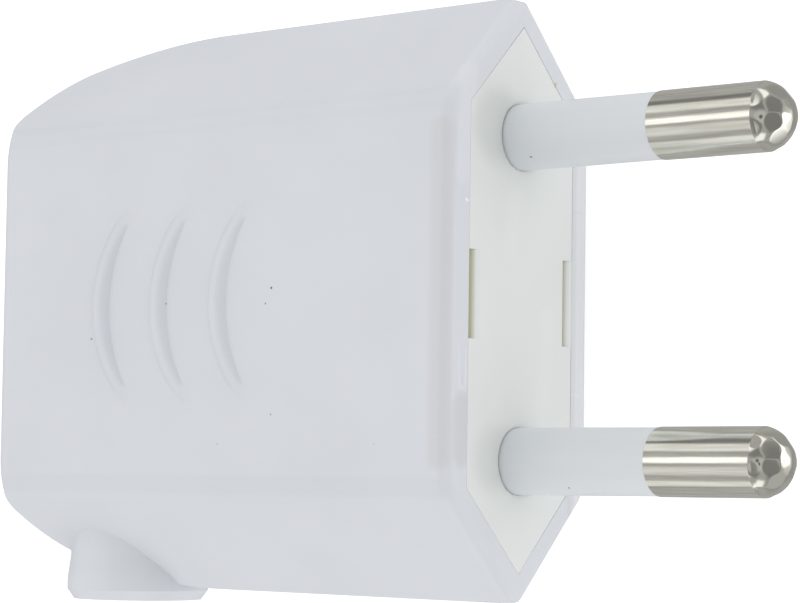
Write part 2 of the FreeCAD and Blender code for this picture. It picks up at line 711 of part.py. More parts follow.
def make_bar():
    """Clamp bar with rounded ends, two screw holes and a gripping rib underneath."""
    body = new_body("cord_clamp_bar")
    outline = new_sketch(body, "BarOutline", "XY_Plane")
    half_length = "(clamp_spacing / 2 + clamp_bar_end)"
    add_box(outline, "-clamp_bar_width / 2", "clamp_bar_width / 2", "-" + half_length, half_length)
    add_pad(body, "Bar", outline, "clamp_bar_thickness")
    add_edge_feature(
        body, "BarEnds", "Fillet", "clamp_bar_width * 0.45", lambda edge: edge.BoundBox.ZLength > 0.1)
    rib = new_sketch(body, "RibOutline", "XY_Plane")
    half_rib = ("clamp_rib_width / 2", "clamp_rib_length / 2")
    add_box(rib, "-" + half_rib[0], half_rib[0], "-" + half_rib[1], half_rib[1])
    add_pad(body, "Rib", rib, "clamp_rib", reverse=True)
    holes = new_sketch(body, "BarHoles", "XY_Plane", "clamp_bar_thickness")
    for side in ("", "-"):
        add_circle(holes, "0", "%sclamp_spacing / 2" % side, "clamp_thread / 2 + clamp_screw_gap")
    add_pocket(body, "ScrewHoles", holes, "clamp_bar_thickness + 1")
    place(body, "-clamp_setback", "0", TRAY_TOP + " + clamp_opening")
    return body


pieces = [make_housing(), make_carrier()]
for word, side, turn in (("right", "", 25), ("left", "-", 70)):
    pieces.append(make_pin("pin_" + word, side))
    pieces.append(make_sleeve("sleeve_" + word, side))
    pieces.append(make_screw(
        "terminal_screw_" + word, "terminal_thread", "head_diameter / 2 - terminal_seat - terminal_tip",
        "terminal_head", "terminal_head_height", "-terminal_setback", "%spin_spacing / 2" % side,
        "head_diameter / 2 - terminal_seat", turn))
    pieces.append(make_screw(
        "clamp_screw_" + word, "clamp_thread", "clamp_screw_length",
        "clamp_head", "clamp_head_height", "-clamp_setback", "%sclamp_spacing / 2" % side,
        TRAY_TOP + " + clamp_opening + clamp_bar_thickness", 180 - turn))
pieces.append(make_bar())
doc.recompute()

for item in doc.Objects:
    if "Invalid" in item.State or "Error" in item.State:
        raise RuntimeError("%s failed: %s" % (item.Label, item.State))
for piece in pieces:
    shape = piece.Shape
    if shape.isNull() or not shape.isValid() or not shape.Solids:
        raise RuntimeError(piece.Label + " has no sound solid")

os.makedirs("parts", exist_ok=True)
for piece in pieces:
    piece.Shape.exportStep(os.path.join("parts", piece.Label + ".step"))
    box = piece.Shape.BoundBox
    print("%-22s solids %d  volume %9.3f  x %7.2f %7.2f  y %7.2f %7.2f  z %6.2f %6.2f" % (
        piece.Label, len(piece.Shape.Solids), piece.Shape.Volume,
        box.XMin, box.XMax, box.YMin, box.YMax, box.ZMin, box.ZMax))
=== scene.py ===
"""Looks of a flat two-pin mains plug: its finished pieces, camera, light and floor round the CAD frame.

Everything is in metres in the CAD frame: the origin is the centre of the engagement face, +X runs out
along the pins, +Y across the broad face and +Z up out of it. The plug lies on its lower broad face.
"""

import logging
import math
from dataclasses import dataclass
from enum import Enum

import bmesh
import bpy
from mathutils import Euler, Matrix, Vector


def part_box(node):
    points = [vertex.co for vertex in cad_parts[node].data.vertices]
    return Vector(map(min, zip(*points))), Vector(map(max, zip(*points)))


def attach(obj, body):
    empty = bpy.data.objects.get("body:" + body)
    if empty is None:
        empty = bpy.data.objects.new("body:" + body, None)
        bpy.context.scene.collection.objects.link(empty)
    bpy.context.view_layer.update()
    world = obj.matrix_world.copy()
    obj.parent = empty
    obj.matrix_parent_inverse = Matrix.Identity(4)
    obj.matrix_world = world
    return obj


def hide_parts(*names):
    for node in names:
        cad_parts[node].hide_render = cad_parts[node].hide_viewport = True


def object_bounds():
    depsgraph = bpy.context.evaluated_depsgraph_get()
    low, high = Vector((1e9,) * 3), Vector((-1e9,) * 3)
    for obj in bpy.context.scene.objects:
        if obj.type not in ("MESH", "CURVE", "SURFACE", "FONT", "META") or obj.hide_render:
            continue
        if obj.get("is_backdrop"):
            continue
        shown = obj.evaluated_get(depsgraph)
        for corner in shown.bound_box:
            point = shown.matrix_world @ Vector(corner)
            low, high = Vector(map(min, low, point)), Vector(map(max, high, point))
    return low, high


LOG = logging.getLogger("plug")
MM = 0.001
PIN_RADIUS = 2.0 * MM
BODY = "root"
WHITE = (1.0, 1.0, 1.0, 1.0)
TILT = 0.01       # a wall whose normal has more of X than this isn't in line with the pins
PARALLEL = 0.99   # cosine above which two walls face the same way
SKEW = Vector((1.0, 0.618, 0.382))   # direction along which a mesh's points and faces are ordered


class Side(Enum):
    """The two pins, as seen along -X onto the engagement face with +Z up."""

    RIGHT = "right"
    LEFT = "left"


class Slot(Enum):
    """Material slots of the record."""

    HOUSING = "housing_plastic"
    CARRIER = "carrier_plastic"
    SLEEVE = "sleeve_plastic"
    NICKEL = "nickel_plate"
    STEEL = "screw_steel"


def linear(red: float, green: float, blue: float) -> tuple[float, float, float, float]:
    """Turn a colour as a screen shows it into the values that a shader takes.

    Args:
        red: Red from 0 to 255.
        green: Green from 0 to 255.
        blue: Blue from 0 to 255.

    Returns:
        The colour as linear red, green, blue and an alpha of 1.
    """
    values = []
    for value in (red, green, blue):
        share = value / 255
        values.append(share / 12.92 if share <= 0.04045 else ((share + 0.055) / 1.055) ** 2.4)
    return (values[0], values[1], values[2], 1.0)


class Graph:
    """A node tree that is filled one node at a time."""

    def __init__(self, tree: bpy.types.NodeTree) -> None:
        """Keep the tree and empty it.

        Args:
            tree: Node tree of a material, world or node group.
        """
        self.tree = tree
        tree.nodes.clear()

    def add(self, kind: str, settings: dict | None = None, **inputs: object) -> bpy.types.Node:
        """Add a node, set its properties and fill its inputs.

        Args:
            kind: Type name of the node.
            settings: Properties of the node by name.
            inputs: Values or output sockets, by input name with underscores for spaces, or i0, i1 by number.

        Returns:
            The new node.
        """
        node = self.tree.nodes.new(kind)
        for name, value in (settings or {}).items():
            setattr(node, name, value)
        for name, value in inputs.items():
            numbered = name[0] == "i" and name[1:].isdigit()
            socket = node.inputs[int(name[1:])] if numbered else node.inputs[name.replace("_", " ")]
            if isinstance(value, bpy.types.NodeSocket):
                self.tree.links.new(value, socket)
            else:
                socket.default_value = value
        return node

    def math(self, operation: str, first: object, second: object = 0.0,
             clamp: bool = False) -> bpy.types.NodeSocket:
        """Add a math node.

        Args:
            operation: Name of the operation.
            first: First value or socket.
            second: Second value or socket.
            clamp: Keep the result between 0 and 1.

        Returns:
            The result's socket.
        """
        settings = {"operation": operation, "use_clamp": clamp}
        return self.add("ShaderNodeMath", settings, i0=first, i1=second).outputs[0]

    def ramp(self, value: bpy.types.NodeSocket, low: float, high: float) -> bpy.types.NodeSocket:
        """Bring a value from a range to 0 to 1 with soft ends.

        Args:
            value: Socket of the value.
            low: Value that gives 0.
            high: Value that gives 1.

        Returns:
            The result's socket.
        """
        settings = {"interpolation_type": "SMOOTHSTEP"}
        node = self.add("ShaderNodeMapRange", settings, Value=value, From_Min=low, From_Max=high)
        return node.outputs["Result"]

    def noise(self, vector: bpy.types.NodeSocket, scale: object,
              detail: float = 2.0) -> bpy.types.NodeSocket:
        """Add a noise texture.

        Args:
            vector: Socket of the coordinates in metres.
            scale: Waves per metre, as a value or socket.
            detail: Finer layers.

        Returns:
            The noise's value, around 0.5.
        """
        return self.add("ShaderNodeTexNoise", None, Vector=vector, Scale=scale, Detail=detail).outputs[0]

    def blend(self, mask: object, first: object, second: object) -> bpy.types.NodeSocket:
        """Mix two colours.

        Args:
            mask: Share of the second colour.
            first: Colour at 0.
            second: Colour at 1.

        Returns:
            The mixed colour's socket.
        """
        node = self.add("ShaderNodeMix", {"data_type": "RGBA"}, i0=mask, i6=first, i7=second)
        return node.outputs[2]

    def mix(self, mask: object, first: object, second: object) -> bpy.types.NodeSocket:
        """Mix two values.

        Args:
            mask: Share of the second value.
            first: Value at 0.
            second: Value at 1.

        Returns:
            The mixed value's socket.
        """
        return self.add("ShaderNodeMix", {"data_type": "FLOAT"}, i0=mask, i2=first, i3=second).outputs[0]

    def vector(self, operation: str, first: object, second: object) -> bpy.types.Node:
        """Add a vector math node.

        Args:
            operation: Name of the operation.
            first: First vector or socket.
            second: Second vector or socket.

        Returns:
            The node, whose result is in the output Vector or Value.
        """
        return self.add("ShaderNodeVectorMath", {"operation": operation}, i0=first, i1=second)

    def band(self, value: bpy.types.NodeSocket, middle: float, half_width: float,
             blur: float = 0.2) -> bpy.types.NodeSocket:
        """Give 1 inside a band of a value and 0 outside, with soft edges.

        Args:
            value: Socket of the value.
            middle: Middle of the band.
            half_width: Distance from the middle to the edge.
            blur: Half the edge's softness as a share of the half width.

        Returns:
            The mask's socket.
        """
        off = self.math("ABSOLUTE", self.math("SUBTRACT", value, middle))
        edge = self.ramp(off, half_width * (1 - blur), half_width * (1 + blur))
        return self.math("SUBTRACT", 1.0, edge)


def new_group(name: str, inputs: dict[str, tuple[str, float]],
              outputs: dict[str, str]) -> tuple[Graph, dict, dict]:
    """Start a shader node group.

    Args:
        name: Name of the group.
        inputs: Socket kind and default by input name.
        outputs: Socket kind by output name.

    Returns:
        The graph, its input sockets by name, and its output sockets by name.
    """
    tree = bpy.data.node_groups.new(name, "ShaderNodeTree")
    for label, (kind, default) in inputs.items():
        socket = tree.interface.new_socket(name=label, in_out="INPUT", socket_type=kind)
        if kind == "NodeSocketFloat":
            socket.default_value = default
    for label, kind in outputs.items():
        tree.interface.new_socket(name=label, in_out="OUTPUT", socket_type=kind)
    graph = Graph(tree)
    start = graph.add("NodeGroupInput")
    end = graph.add("NodeGroupOutput")
    return graph, {s.name: s for s in start.outputs}, {s.name: s for s in end.inputs}


FLOAT = "NodeSocketFloat"
VECTOR = "NodeSocketVector"


class Effects:
    """Node groups that several finishes share, each built once."""

    def __init__(self) -> None:
        """Build the groups."""
        self.moulding = self.build_moulding()
        self.stroke = self.build_stroke()
        self.drawing = self.build_drawing()

    @staticmethod
    def build_moulding() -> bpy.types.NodeTree:
        """Build the skin of a moulding: broad cloudiness, fine grain and its height.

        Returns:
            Node group with the outputs Cloud, Grain and Height, all around 0.5.
        """
        graph, given, out = new_group(
            "MouldedSkin",
            {"Vector": (VECTOR, 0), "Cloud Scale": (FLOAT, 90.0), "Grain Scale": (FLOAT, 3200.0)},
            {"Cloud": FLOAT, "Grain": FLOAT, "Height": FLOAT})
        cloud = graph.add("ShaderNodeTexNoise", None, Vector=given["Vector"], Scale=given["Cloud Scale"],
                          Detail=3.0, Roughness=0.55)
        grain = graph.noise(given["Vector"], given["Grain Scale"])
        waves = graph.math("MULTIPLY", cloud.outputs[0], 0.6)
        height = graph.math("ADD", waves, graph.math("MULTIPLY", grain, 0.4))
        for name, socket in (("Cloud", cloud.outputs[0]), ("Grain", grain), ("Height", height)):
            graph.tree.links.new(socket, out[name])
        return graph.tree

    @staticmethod
    def build_stroke() -> bpy.types.NodeTree:
        """Build a soft-edged stroke between two places on the surface, or a spot where they are one.

        Returns:
            Node group with the output Mask, 1 in the stroke.
        """
        graph, given, out = new_group(
            "Stroke",
            {"Vector": (VECTOR, 0), "Start": (VECTOR, 0), "End": (VECTOR, 0), "Radius": (FLOAT, 0.0001)},
            {"Mask": FLOAT})
        along = graph.vector("SUBTRACT", given["End"], given["Start"]).outputs["Vector"]
        away = graph.vector("SUBTRACT", given["Vector"], given["Start"]).outputs["Vector"]
        length = graph.math("MAXIMUM", graph.vector("DOT_PRODUCT", along, along).outputs["Value"], 1e-12)
        reach = graph.vector("DOT_PRODUCT", away, along).outputs["Value"]
        share = graph.math("DIVIDE", reach, length, clamp=True)
        scaled = graph.add("ShaderNodeVectorMath", {"operation": "SCALE"}, i0=along, Scale=share)
        foot = scaled.outputs["Vector"]
        off = graph.vector("DISTANCE", away, foot).outputs["Value"]
        mask = graph.math("SUBTRACT", 1.0, graph.ramp(graph.math("DIVIDE", off, given["Radius"]), 0.4, 1.0))
        graph.tree.links.new(mask, out["Mask"])
        return graph.tree

    @staticmethod
    def build_drawing() -> bpy.types.NodeTree:
        """Build the fine lines that drawing and polishing leave along a bar.

        Returns:
            Node group with the outputs Lines and Bands, around 0.5.
        """
        graph, given, out = new_group(
            "DrawnLines",
            {"Vector": (VECTOR, 0), "Line Scale": (FLOAT, 5200.0), "Stretch": (FLOAT, 0.05)},
            {"Lines": FLOAT, "Bands": FLOAT})
        parts = graph.add("ShaderNodeSeparateXYZ", None, Vector=given["Vector"])
        short = graph.math("MULTIPLY", parts.outputs[0], given["Stretch"])
        squeezed = graph.add("ShaderNodeCombineXYZ", None, i0=short, i1=parts.outputs[1],
                             i2=parts.outputs[2]).outputs[0]
        lines = graph.noise(squeezed, given["Line Scale"], detail=3.0)
        slower = graph.math("MULTIPLY", given["Line Scale"], 0.25)
        bands = graph.noise(squeezed, slower, detail=1.0)
        graph.tree.links.new(lines, out["Lines"])
        graph.tree.links.new(bands, out["Bands"])
        return graph.tree


@dataclass(frozen=True)
class Mark:
    """A speck, stain, scratch or flash line in a surface, or painted light or shade on it.

    Attributes:
        start: One end in millimetres.
        end: Other end in millimetres.
        radius: Half its width in millimetres.
        colour: Its colour.
        strength: How far it covers the surface, from 0 to 1.
        lift: How far it stands up, as a share of the skin's height.
    """

    start: tuple[float, float, float]
    end: tuple[float, float, float]
    radius: float
    colour: tuple[float, float, float] = (78.0, 76.0, 84.0)
    strength: float = 1.0
    lift: float = 0.0

    def mask(self, graph: Graph, effects: Effects, place: bpy.types.NodeSocket) -> bpy.types.NodeSocket:
        """Add the mark's mask to a material.

        Args:
            graph: Nodes of the material.
            effects: Shared node groups.
            place: Socket of the coordinates.

        Returns:
            The mask's socket.
        """
        start, end = ([value * MM for value in corner] for corner in (self.start, self.end))
        node = graph.add("ShaderNodeGroup", {"node_tree": effects.stroke}, Vector=place, Start=start,
                         End=end, Radius=self.radius * MM)
        return node.outputs["Mask"]


def spot(x: float, y: float, z: float, radius: float, **facts: object) -> Mark:
    """Make a round mark.

    Args:
        x: Its place along X in millimetres.
        y: Its place along Y in millimetres.
        z: Its place along Z in millimetres.
        radius: Its radius in millimetres.
        facts: Other fields of the mark.

    Returns:
        The mark.
    """
    return Mark(start=(x, y, z), end=(x, y, z), radius=radius, **facts)


def add_marks(graph: Graph, effects: Effects, place: bpy.types.NodeSocket, marks: tuple[Mark, ...],
              colour: bpy.types.NodeSocket, height: bpy.types.NodeSocket) -> tuple:
    """Lay marks, painted light and shade among them, over a colour and a height.

    Args:
        graph: Nodes of the material.
        effects: Shared node groups.
        place: Socket of the coordinates.
        marks: The marks, in order.
        colour: Socket of the bare colour.
        height: Socket of the bare height.

    Returns:
        The sockets of the marked colour and height.
    """
    for mark in marks:
        mask = mark.mask(graph, effects, place)
        share = graph.math("MULTIPLY", mask, mark.strength)
        colour = graph.blend(share, colour, linear(*mark.colour))
        if mark.lift:
            height = graph.math("ADD", height, graph.math("MULTIPLY", mask, mark.lift))
    return colour, height


@dataclass(frozen=True)
class Plastic:
    """A moulded plastic, and the marks and the painted light and shade in it.

    Attributes:
        name: Name of the material.
        colour: Its clear colour.
        cloudy: Its colour where it is cloudier.
        roughness: Mean roughness.
        gloss: Specular level, where 0.5 is that of plain plastic.
        grain: Strength of the bump.
        marks: Marks in the plastic, and painted light and shade on it.
    """

    name: str
    colour: tuple[float, float, float]
    cloudy: tuple[float, float, float]
    roughness: float
    gloss: float
    grain: float
    marks: tuple[Mark, ...] = ()

    def material(self, effects: Effects) -> bpy.types.Material:
        """Build the material.

        Args:
            effects: Shared node groups.

        Returns:
            The material.
        """
        material = bpy.data.materials.new(self.name)
        material.use_nodes = True
        graph = Graph(material.node_tree)
        place = graph.add("ShaderNodeTexCoord").outputs["Object"]
        skin = graph.add("ShaderNodeGroup", {"node_tree": effects.moulding}, Vector=place)
        cloud = graph.ramp(skin.outputs["Cloud"], 0.3, 0.7)
        colour = graph.blend(cloud, linear(*self.colour), linear(*self.cloudy))
        colour, height = add_marks(graph, effects, place, self.marks, colour, skin.outputs["Height"])
        spread = graph.math("MULTIPLY_ADD", skin.outputs["Grain"], 0.16)
        spread.node.inputs[2].default_value = self.roughness - 0.08
        bump = graph.add("ShaderNodeBump", None, Strength=self.grain, Distance=0.00002, Height=height)
        shader = graph.add("ShaderNodeBsdfPrincipled", None, Base_Color=colour, Roughness=spread,
                           Normal=bump.outputs[0])
        shader.inputs["Specular IOR Level"].default_value = self.gloss
        shader.inputs["IOR"].default_value = 1.5
        graph.add("ShaderNodeOutputMaterial", None, Surface=shader.outputs[0])
        return material


@dataclass(frozen=True)
class Metal:
    """A drawn metal: its colour, the darker lines along it, how it shines, and where the lines end.

    Attributes:
        name: Name of the material.
        colour: Colour between the lines.
        lined: Colour in the lines.
        roughness: Mean roughness.
        lines: Depth of the lines, from 0 to 1.
        plain_from: Place along X in millimetres from which the metal has no lines.
        marks: Marks in the metal, and painted highlights on it.
    """

    name: str
    colour: tuple[float, float, float]
    lined: tuple[float, float, float]
    roughness: float
    lines: float
    plain_from: float = 100.0
    marks: tuple[Mark, ...] = ()

    def material(self, effects: Effects) -> bpy.types.Material:
        """Build the material.

        Args:
            effects: Shared node groups.

        Returns:
            The material.
        """
        material = bpy.data.materials.new(self.name)
        material.use_nodes = True
        graph = Graph(material.node_tree)
        place = graph.add("ShaderNodeTexCoord").outputs["Object"]
        drawn = graph.add("ShaderNodeGroup", {"node_tree": effects.drawing}, Vector=place)
        along = graph.add("ShaderNodeSeparateXYZ", None, Vector=place).outputs[0]
        plain = graph.ramp(along, (self.plain_from - 0.1) * MM, self.plain_from * MM)
        lines = graph.mix(plain, drawn.outputs["Lines"], 0.5)
        colour = graph.blend(graph.ramp(lines, 0.35, 0.65), linear(*self.colour), linear(*self.lined))
        colour, height = add_marks(graph, effects, place, self.marks, colour, lines)
        rough = graph.math("MULTIPLY_ADD", drawn.outputs["Bands"], 0.1)
        rough.node.inputs[2].default_value = self.roughness - 0.05
        bump = graph.add("ShaderNodeBump", None, Strength=self.lines, Distance=0.00001, Height=height)
        shader = graph.add("ShaderNodeBsdfPrincipled", None, Base_Color=colour, Roughness=rough,
                           Metallic=1.0, Normal=bump.outputs[0])
        graph.add("ShaderNodeOutputMaterial", None, Surface=shader.outputs[0])
        return material


def mark_creases(work: bmesh.types.BMesh, sharp: float) -> None:
    """Shade every face smooth and keep the edges crisp that turn by more than an angle.

    Args:
        work: The mesh.
        sharp: Angle in degrees above which an edge stays crisp.
    """
    for face in work.faces:
        face.smooth = True
        face.material_index = 0
    for edge in work.edges:
        edge.smooth = len(edge.link_faces) == 2 and edge.calc_face_angle(0.0) < math.radians(sharp)


def store(work: bmesh.types.BMesh, mesh: bpy.types.Mesh) -> None:
    """Write a mesh in an order that is the same each run, without the normals that came with its source.

    Args:
        work: The mesh as it was worked on, which is freed.
        mesh: Where it goes.
    """
    work.verts.sort(key=lambda vert: vert.co.dot(SKEW))
    work.edges.sort(key=lambda edge: (edge.verts[0].co + edge.verts[1].co).dot(SKEW))
    work.faces.sort(key=lambda face: face.calc_center_median().dot(SKEW))
    work.to_mesh(mesh)
    work.free()
    if "custom_normal" in mesh.attributes:
        mesh.attributes.remove(mesh.attributes["custom_normal"])
    mesh.update()


def smooth_copy(node: str, weld: float, sharp: float) -> bpy.types.Object:
    """Copy a CAD node's mesh, weld its loose triangles and shade it smooth up to an angle.

    Args:
        node: Name of the CAD node.
        weld: Distance in metres within which points are one.
        sharp: Angle in degrees above which an edge stays sharp.

    Returns:
        The new object, which is not linked to the frame's mesh.
    """
    mesh = bpy.data.meshes.new(node + "_skin")
    work = bmesh.new()
    work.from_mesh(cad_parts[node].data)
    bmesh.ops.remove_doubles(work, verts=work.verts, dist=weld)
    bmesh.ops.dissolve_degenerate(work, edges=work.edges, dist=weld)
    bmesh.ops.dissolve_limit(work, angle_limit=math.radians(0.05), verts=work.verts, edges=work.edges,
                             use_dissolve_boundaries=False, delimit=set())
    mark_creases(work, sharp)
    store(work, mesh)
    piece = bpy.data.objects.new(node + "_finished", mesh)
    bpy.context.scene.collection.objects.link(piece)
    weight = piece.modifiers.new("FaceNormals", "WEIGHTED_NORMAL")
    weight.mode = "FACE_AREA_WITH_ANGLE"
    weight.keep_sharp = True
    return piece


def adopt(piece: bpy.types.Object, node: str, material: bpy.types.Material) -> None:
    """Give a finished piece its material and body, and let it stand for its CAD node.

    Args:
        piece: The finished piece.
        node: Name of the CAD node that it stands for.
        material: Its material.
    """
    piece.data.materials.clear()
    piece.data.materials.append(material)
    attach(piece, BODY)
    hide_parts(node)
    LOG.info("%s: %d faces", piece.name, len(piece.data.polygons))


HOUSING_MARKS_AND_PAINTED_LIGHT = (
    # specks on the broad face
    spot(-28.68, -2.03, 7.05, 0.10, strength=0.7), spot(-22.2, 0.0, 7.05, 0.07, strength=0.8),
    spot(-13.95, -0.26, 7.05, 0.07), spot(-13.5, 0.67, 7.05, 0.10), spot(-13.38, -6.95, 7.05, 0.06),
    spot(-17.7, -8.72, 7.05, 0.06, strength=0.6), spot(-5.32, -8.73, 7.05, 0.05, strength=0.6),
    spot(-0.67, -8.51, 7.04, 0.05, strength=0.6),
    # a pale fleck, and a raised flash line with its round end on the near rim, painted lighter as its
    # highlight, with a darker line inside its end
    Mark((0.0, 5.42, 5.46), (0.0, 5.36, 5.30), 0.13, (240, 239, 246), 0.8, 2.0),
    Mark((0.0, -3.2, 5.95), (0.0, -5.35, 5.90), 0.12, (224, 229, 238), 0.45, 2.0),
    Mark((0.0, -3.2, 5.30), (0.0, -5.35, 5.32), 0.12, (224, 229, 238), 0.45, 2.0),
    Mark((0.0, -5.45, 5.78), (0.0, -5.5, 5.45), 0.13, (224, 229, 238), 0.4, 2.0),
    Mark((0.0, -4.8, 5.64), (0.0, -5.2, 5.60), 0.10, (198, 203, 213), 0.4),
    # two fine lines across the far rim, and a yellowish stain
    Mark((0.0, 5.6, -5.2), (0.0, 5.6, -6.3), 0.07, (190, 194, 194), 0.3, -1.0),
    Mark((0.0, -5.5, -5.2), (0.0, -5.5, -5.8), 0.08, (228, 231, 232), 0.45, 1.0),
    spot(0.0, 13.2, -3.25, 0.17, colour=(192, 188, 130), strength=0.8),
    # painted light and shade along the rims and beside the far seam, and a darker patch low on the near rim
    # painted shade along the near rim's rounding
    Mark((-0.75, -9.5, 6.7), (-0.75, 9.5, 6.7), 1.0, (204, 204, 207), 0.6),
    # a darker patch low on the near rim
    Mark((0.0, -6.5, 5.6), (0.0, -9.3, 5.6), 1.1, (200, 201, 203), 0.6),
    # painted light along the far rim
    Mark((0.0, -12.0, -5.9), (0.0, 12.0, -5.9), 1.1, (236, 234, 236), 0.35),
    # painted shade on the far rim beside the seam
    Mark((0.0, -12.5, -5.2), (0.0, 12.5, -5.2), 0.5, (190, 193, 188), 0.25),
    # painted light on the near rim towards +Y
    Mark((0.0, 7.0, 5.7), (0.0, 13.0, 5.2), 1.0, (232, 232, 234), 0.2),
)

CARRIER_MARKS_AND_PAINTED_SHADE = (
    # the stain, and painted shade in the two latch notches, with the olive tint of their inside
    Mark((0.0, 13.55, -2.95), (0.0, 13.1, -3.25), 0.2, (186, 182, 128), 0.8),
    Mark((-0.5, -2.4, 4.68), (-0.5, 2.4, 4.68), 0.6, (178, 180, 144), 0.95),
    Mark((-0.58, -2.5, -4.45), (-0.58, 2.5, -4.45), 0.64, (188, 184, 160), 0.95),
    # lighter smears, and painted shade on the carrier beside the sleeves
    Mark((0.0, 9.0, 0.2), (0.0, 3.0, 1.2), 0.9, (228, 231, 229), 0.22),
    Mark((0.0, -1.0, -2.6), (0.0, -7.5, -2.2), 1.0, (228, 230, 229), 0.2),
    Mark((0.0, -11.5, 1.5), (0.0, -6.0, 2.4), 0.9, (227, 230, 228), 0.2),
    spot(0.0, 10.1, 2.6, 3.1, colour=(182, 186, 183), strength=0.38),
    spot(0.0, -9.5, 2.6, 2.6, colour=(188, 192, 189), strength=0.30),
)

# two pits, and a raised burr painted white as its highlight, on the left pin's dome
NICKEL_MARKS_AND_HIGHLIGHT = (
    spot(17.43, -9.54, 1.86, 0.17, strength=0.8), spot(17.96, -10.29, 1.33, 0.14, strength=0.8),
    Mark((17.02, -10.75, 1.64), (17.02, -11.4, 0.88), 0.05, (255, 255, 255), 1.0, 1.0),
)

HOUSING_PLASTIC = Plastic("HousingPlastic", (214, 217, 222), (211, 214, 220), roughness=0.35, gloss=0.62,
                          grain=0.12, marks=HOUSING_MARKS_AND_PAINTED_LIGHT)
CARRIER_PLASTIC = Plastic("CarrierPlastic", (222, 225, 224), (219, 222, 220), roughness=0.55, gloss=0.3,
                          grain=0.2, marks=CARRIER_MARKS_AND_PAINTED_SHADE)
SLEEVE_PLASTIC = Plastic("SleevePlastic", (216, 220, 223), (213, 217, 221), roughness=0.38, gloss=0.45,
                         grain=0.08, marks=(spot(1.61, 8.19, 1.39, 0.09), spot(4.46, -11.14, 1.23, 0.08)))
NICKEL = Metal("NickelPlate", (236, 235, 225), (221, 219, 207), roughness=0.14, lines=0.18, plain_from=16.9,
               marks=NICKEL_MARKS_AND_HIGHLIGHT)
STEEL = Metal("ScrewSteel", (190, 190, 188), (160, 160, 158), roughness=0.35, lines=0.3)


@dataclass
class Housing:
    """The outer shell, with its ridges and collar.

    Attributes:
        weld: Distance within which points are one.
        sharp: Angle in degrees above which an edge stays crisp.
        finish: Its plastic.
    """

    weld: float = 0.002 * MM
    sharp: float = 28.0
    finish: Plastic = HOUSING_PLASTIC

    def build(self, effects: Effects) -> None:
        """Build and dress the housing.

        Args:
            effects: Shared node groups.
        """
        piece = smooth_copy("housing", self.weld, self.sharp)
        adopt(piece, "housing", self.finish.material(effects))


